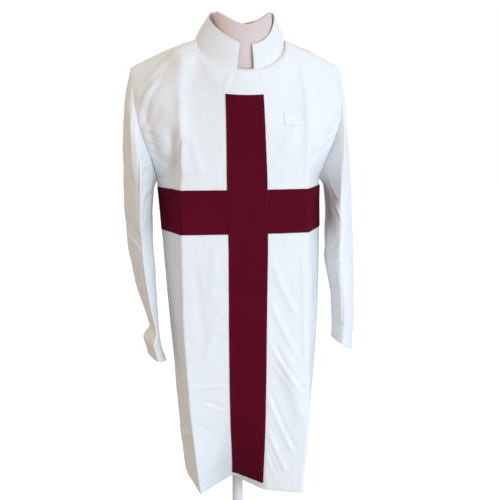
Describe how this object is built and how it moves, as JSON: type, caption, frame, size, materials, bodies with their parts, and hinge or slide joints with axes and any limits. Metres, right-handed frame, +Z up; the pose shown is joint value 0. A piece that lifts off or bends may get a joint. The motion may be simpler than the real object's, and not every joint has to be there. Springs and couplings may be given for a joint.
{
  "type": "medieval surcoat on a limbless dress form",
  "caption": "White long-sleeved surcoat with a notched stand collar and a maroon cross, standing on a limbless dress form with a pole and round base.",
  "frame": {"origin": "middle of the round base's underside, on the floor", "axes": "+Z up along the pole, the surcoat's front faces -Y, +X to the viewer's right"},
  "size_m": [0.5533, 0.32, 1.5296],
  "materials": {
    "white_cloth": "plain woven white cotton",
    "maroon_cloth": "plain woven maroon cotton",
    "form_skin": "smooth satin, pale pink",
    "stand_paint": "satin white powder coat"
  },
  "bodies": {
    "root": {"front": "white_cloth", "back": "white_cloth", "sleeve_left": "white_cloth", "sleeve_right": "white_cloth", "collar": "white_cloth", "pocket_welt": "white_cloth", "cross_upright": "maroon_cloth", "cross_arm_left": "maroon_cloth", "cross_arm_right": "maroon_cloth", "form_torso": "form_skin", "form_pole": "stand_paint", "form_base": "stand_paint"}
  },
  "joints": []
}
